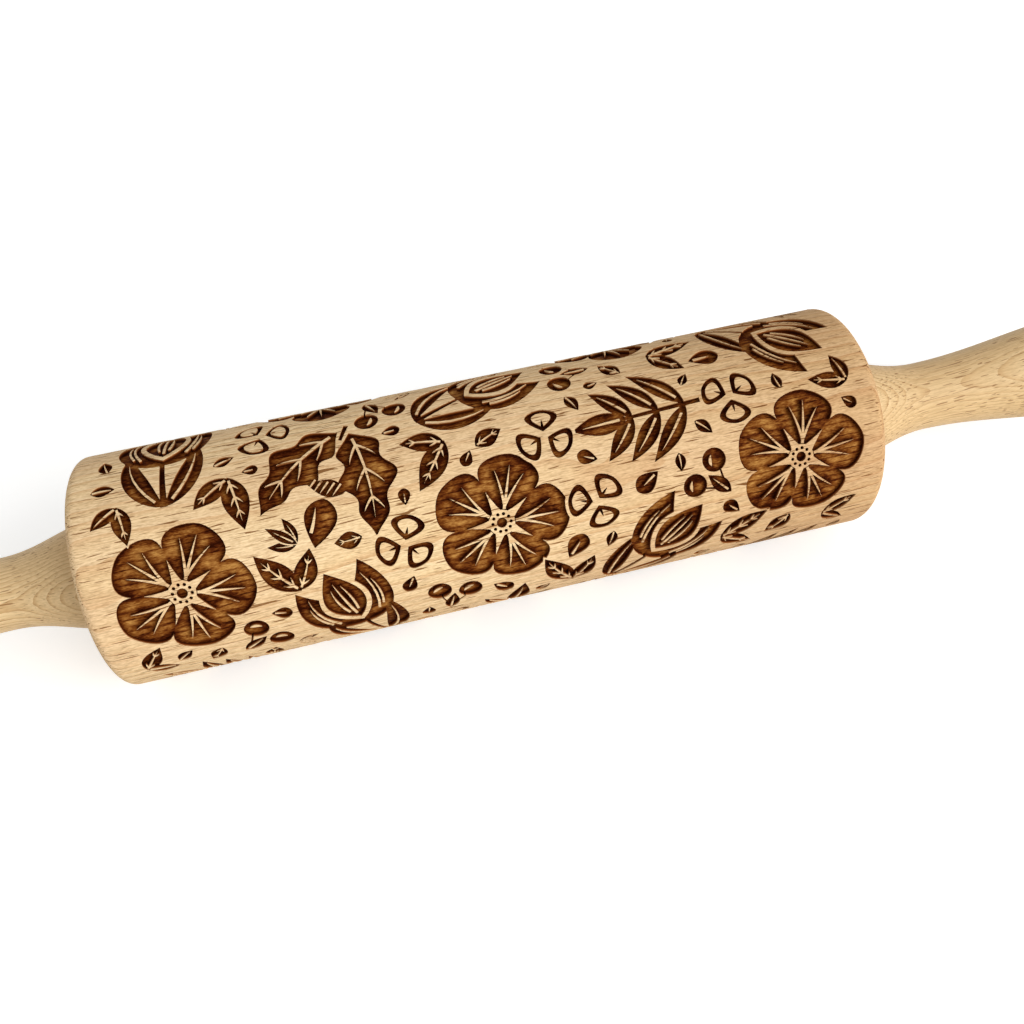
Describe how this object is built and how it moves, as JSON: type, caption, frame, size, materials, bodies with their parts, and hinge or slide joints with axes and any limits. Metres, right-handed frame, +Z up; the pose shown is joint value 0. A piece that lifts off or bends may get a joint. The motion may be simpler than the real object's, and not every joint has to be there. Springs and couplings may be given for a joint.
{
  "type": "rolling pin",
  "caption": "Rolling pin with a carved wooden barrel that turns on a metal axle between turned wooden handles.",
  "frame": {"origin": "centre of the barrel, on the axle's axis", "axes": "+X along the axle towards the right-hand handle, +Z up with the pin lying on a level surface"},
  "size_m": [0.4004, 0.06, 0.06],
  "materials": {
    "barrel_wood": "sanded beech with burned pockets",
    "handle_wood": "turned and sanded beech",
    "axle_steel": "drawn bar",
    "washer_steel": "zinc plated",
    "insert_brass": "turned",
    "bush_nylon": "moulded, natural"
  },
  "bodies": {
    "handles": {"handle_left": "handle_wood", "handle_right": "handle_wood", "axle": "axle_steel", "insert_left": "insert_brass", "insert_right": "insert_brass", "washer_left": "washer_steel", "washer_right": "washer_steel"},
    "barrel": {"barrel": "barrel_wood", "bush_left": "bush_nylon", "bush_right": "bush_nylon"}
  },
  "joints": [
    {"name": "barrel_spin", "type": "hinge", "parent": "handles", "child": "barrel", "pos_m": [0, 0, 0], "axis": [1, 0, 0], "continuous": true}
  ]
}
